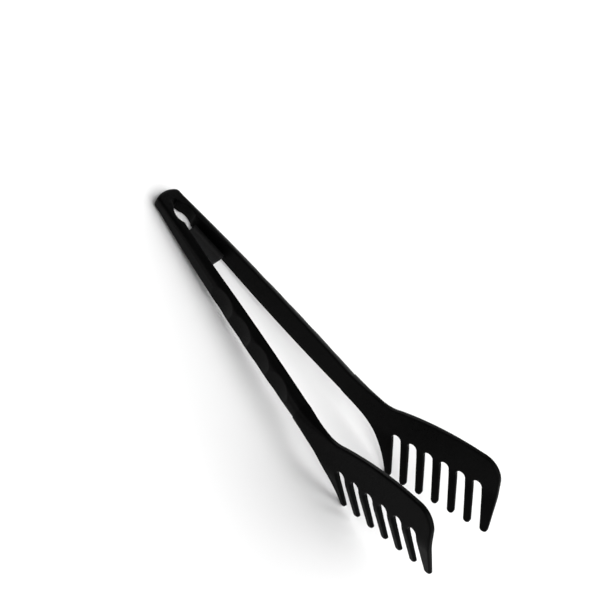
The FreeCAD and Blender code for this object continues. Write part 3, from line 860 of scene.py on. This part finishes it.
def black_nylon(name, tint, roughness, grain_size, seed, shine):
    """Moulded black nylon: fine spark-eroded grain, cloudy gloss and faint flow marks."""
    material, nodes, links = new_material(name)
    shader = nodes["Principled BSDF"]
    place = nodes.new("ShaderNodeTexCoord")

    def noise(scale, detail, stretch=(1.0, 1.0, 1.0)):
        shift = nodes.new("ShaderNodeMapping")
        shift.inputs["Location"].default_value = (seed, seed * 0.7, seed * 1.3)
        shift.inputs["Scale"].default_value = stretch
        links.new(place.outputs["Object"], shift.inputs["Vector"])
        texture = nodes.new("ShaderNodeTexNoise")
        texture.inputs["Scale"].default_value = scale
        texture.inputs["Detail"].default_value = detail
        links.new(shift.outputs["Vector"], texture.inputs["Vector"])
        return texture.outputs["Fac"]

    def spread(source, low, high):
        scale = nodes.new("ShaderNodeMapRange")
        scale.inputs["From Min"].default_value = 0.3
        scale.inputs["From Max"].default_value = 0.7
        scale.inputs["To Min"].default_value = low
        scale.inputs["To Max"].default_value = high
        links.new(source, scale.inputs["Value"])
        return scale.outputs["Result"]

    cloud = noise(70.0, 4.0, (0.5, 1.0, 1.0))
    grain = noise(1.0 / (grain_size * MM), 3.0)
    colour = nodes.new("ShaderNodeMix")
    colour.data_type = "RGBA"
    colour.inputs["A"].default_value = (tint * 0.75, tint * 0.75, tint * 0.78, 1.0)
    colour.inputs["B"].default_value = (tint * 1.3, tint * 1.3, tint * 1.32, 1.0)
    speckle = nodes.new("ShaderNodeMath")
    speckle.operation = "MULTIPLY"
    links.new(spread(cloud, 0.4, 1.2), speckle.inputs[0])
    links.new(spread(grain, 0.0, 1.3), speckle.inputs[1])
    links.new(speckle.outputs["Value"], colour.inputs["Factor"])
    links.new(colour.outputs["Result"], shader.inputs["Base Color"])
    gloss = nodes.new("ShaderNodeMath")
    gloss.operation = "ADD"
    links.new(spread(cloud, -0.04, 0.04), gloss.inputs[0])
    links.new(spread(grain, roughness - 0.1, roughness + 0.1), gloss.inputs[1])
    links.new(gloss.outputs["Value"], shader.inputs["Roughness"])
    bump = nodes.new("ShaderNodeBump")
    bump.inputs["Strength"].default_value = 0.5
    bump.inputs["Distance"].default_value = 0.06 * MM
    links.new(grain, bump.inputs["Height"])
    links.new(bump.outputs["Normal"], shader.inputs["Normal"])
    shader.inputs["IOR"].default_value = 1.45
    shader.inputs["Specular IOR Level"].default_value = shine
    return material


def brushed_steel(name, roughness):
    """Cold-rolled steel: fine lines along the strip and a slightly uneven gloss."""
    material, nodes, links = new_material(name)
    shader = nodes["Principled BSDF"]
    place = nodes.new("ShaderNodeTexCoord")
    stretch = nodes.new("ShaderNodeMapping")
    stretch.inputs["Scale"].default_value = (40.0, 900.0, 2500.0)
    links.new(place.outputs["Object"], stretch.inputs["Vector"])
    lines = nodes.new("ShaderNodeTexNoise")
    lines.inputs["Scale"].default_value = 1.0
    lines.inputs["Detail"].default_value = 5.0
    links.new(stretch.outputs["Vector"], lines.inputs["Vector"])
    ramp = nodes.new("ShaderNodeMapRange")
    ramp.inputs["To Min"].default_value = roughness - 0.08
    ramp.inputs["To Max"].default_value = roughness + 0.12
    links.new(lines.outputs["Fac"], ramp.inputs["Value"])
    links.new(ramp.outputs["Result"], shader.inputs["Roughness"])
    tone = nodes.new("ShaderNodeMix")
    tone.data_type = "RGBA"
    tone.inputs["A"].default_value = (0.46, 0.47, 0.49, 1.0)
    tone.inputs["B"].default_value = (0.64, 0.65, 0.66, 1.0)
    links.new(lines.outputs["Fac"], tone.inputs["Factor"])
    links.new(tone.outputs["Result"], shader.inputs["Base Color"])
    shader.inputs["Metallic"].default_value = 1.0
    return material


# ---------------------------------------------------------------- the tongs

head_nylon = black_nylon("head_nylon_black", 0.0013, 0.36, 0.6, 3.0, shine=0.03)
grip_nylon = black_nylon("grip_nylon_black", 0.0018, 0.38, 0.6, 11.0, shine=0.045)
bow_nylon = black_nylon("bow_nylon_black", 0.0018, 0.38, 0.6, 11.0, shine=0.04)
# The web is the same nylon as the arms, but its tint is several times lighter. This is painted
# light, standing in for the light that falls on its upward-facing top.
web_nylon_painted_light = black_nylon("web_painted_highlight_nylon", 0.008, 0.55, 0.5, 5.0, shine=0.22)
spring_steel = brushed_steel("spring_strip_steel", 0.32)
rivet_steel = brushed_steel("rivet_plain_steel", 0.38)

SIDES = (("right", 1), ("left", -1))
STRIP_TREE = strip_tree()
RIVET_TREE = rivet_tree()

bow_end(bow_nylon)
stop_web(web_nylon_painted_light)
for word, side in SIDES:
    comb_frame(word + "_comb_frame_skin", side, word + "_arm", head_nylon)
    grip_cover(word + "_grip_cover_skin", side, word + "_arm", grip_nylon)

half_turn = [math.radians(90 + 180 * n / 60) for n in range(61)]
bend = [(STRIP_MIDDLE * math.cos(angle), STRIP_MIDDLE * math.sin(angle)) for angle in half_turn]
spring_strip("spring_bend", "bow", bend, spring_steel)
for word, side in SIDES:
    ends = placed([(x, STRIP_MIDDLE, STRIP_LEVEL) for x in (BOW_GAP, STRIP_LEG)], side)
    spring_strip(word + "_spring_leg", word + "_arm", [p[:2] for p in ends], spring_steel)
    spring_rivets(word + "_spring_rivets", word + "_arm", side, rivet_steel)


# ---------------------------------------------------------------- studio

# The floor, in metres: about how much it falls along the tongs, its middle, how far it reaches
# each way and how far it lies below them
FLOOR_FALL = 0.118
FLOOR_MIDDLE = 0.13
FLOOR_REACH = 6.0
FLOOR_DROP = 0.0002


def pale_floor():
    """A floor under the tongs as they lie: on the bow's lower rim and the rear teeth."""
    corners = np.array([v.co[:] for o in bpy.context.scene.objects
                        if o.name.endswith("_skin") for v in o.data.vertices])
    front = corners[corners[:, 0] > NECK_STATION * MM]
    tip = front[np.argmin(front[:, 2] + front[:, 0] * FLOOR_FALL)]
    rim = corners[corners[:, 0] < 0]
    rim = rim[np.argmin(rim[:, 2] + rim[:, 0] * FLOOR_FALL)]
    slope = (tip[2] - rim[2]) / (tip[0] - rim[0])
    height = rim[2] + slope * (FLOOR_MIDDLE - rim[0]) - FLOOR_DROP
    middle = Vector((FLOOR_MIDDLE, 0.0, height))
    mesh = bpy.data.meshes.new("studio_floor")
    mesh.from_pydata([middle + Vector((x, y, x * slope)) * FLOOR_REACH
                      for x, y in ((-1, -1), (1, -1), (1, 1), (-1, 1))], [], [(0, 1, 2, 3)])
    material, nodes, links = new_material("studio_floor_white")
    nodes["Principled BSDF"].inputs["Base Color"].default_value = (0.86, 0.86, 0.86, 1.0)
    nodes["Principled BSDF"].inputs["Roughness"].default_value = 0.9
    nodes["Principled BSDF"].inputs["Specular IOR Level"].default_value = 0.1
    mesh.materials.append(material)
    floor = bpy.data.objects.new("studio_floor", mesh)
    bpy.context.scene.collection.objects.link(floor)


def soft_light(name, place, target, size, power):
    lamp = bpy.data.lights.new(name, "AREA")
    lamp.shape = "RECTANGLE"
    lamp.size, lamp.size_y = size
    lamp.energy = power
    light = bpy.data.objects.new(name, lamp)
    light.location = place
    aim = Vector(target) - Vector(place)
    light.rotation_euler = aim.to_track_quat("-Z", "Y").to_euler()
    bpy.context.scene.collection.objects.link(light)


def broad_sun(toward, spread, strength):
    """One large, even, far light, from a direction."""
    lamp = bpy.data.lights.new("key_panel", "SUN")
    lamp.angle = math.radians(spread)
    lamp.energy = strength
    light = bpy.data.objects.new("key_panel", lamp)
    light.rotation_euler = Vector(toward).to_track_quat("Z", "Y").to_euler()
    bpy.context.scene.collection.objects.link(light)


def dim_surround(horizon, overhead):
    """A surround that is brighter near the floor and dim overhead."""
    world = bpy.data.worlds.new("studio_surround")
    world.use_nodes = True
    tree = world.node_tree
    place = add_node(tree, "ShaderNodeTexCoord", {})
    split = add_node(tree, "ShaderNodeSeparateXYZ", {"Vector": place.node.outputs["Generated"]})
    ramp = add_node(tree, "ShaderNodeMapRange", {
        "Value": split.node.outputs["Z"], "From Min": 0.0, "From Max": 0.12,
        "To Min": horizon, "To Max": overhead}, interpolation_type="SMOOTHSTEP")
    backdrop = tree.nodes["Background"]
    backdrop.inputs["Color"].default_value = (1.0, 1.0, 1.0, 1.0)
    tree.links.new(ramp, backdrop.inputs["Strength"])
    bpy.context.scene.world = world


def camera_at_view():
    """The camera: above the left arm, looking down along the tongs."""
    right = Vector((0.6164, 0.6844, 0.3895))
    up = Vector((-0.7598, 0.3869, 0.5225))
    back = right.cross(up)
    lens = bpy.data.cameras.new("camera")
    lens.lens = 102.0
    lens.sensor_width = 36.0
    lens.clip_start = 0.05
    camera = bpy.data.objects.new("camera", lens)
    turn = Matrix((right, up, back)).transposed().to_4x4()
    camera.matrix_world = Matrix.Translation((0.3105, -0.6176, 0.7977)) @ turn
    bpy.context.scene.collection.objects.link(camera)
    bpy.context.scene.camera = camera


pale_floor()
dim_surround(1.0, 0.006)
broad_sun((0.7, 0.05, 0.72), 75.0, 4.4)
soft_light("rim_panel", (-0.2, 1.02, 0.34), (0.14, 0.0, 0.0), (1.8, 0.35), 12.0)
soft_light("low_front_panel", (0.1, -1.0, 0.1), (0.12, 0.0, 0.0), (1.6, 0.14), 4.0)
camera_at_view()
bpy.context.scene.view_settings.view_transform = "Standard"
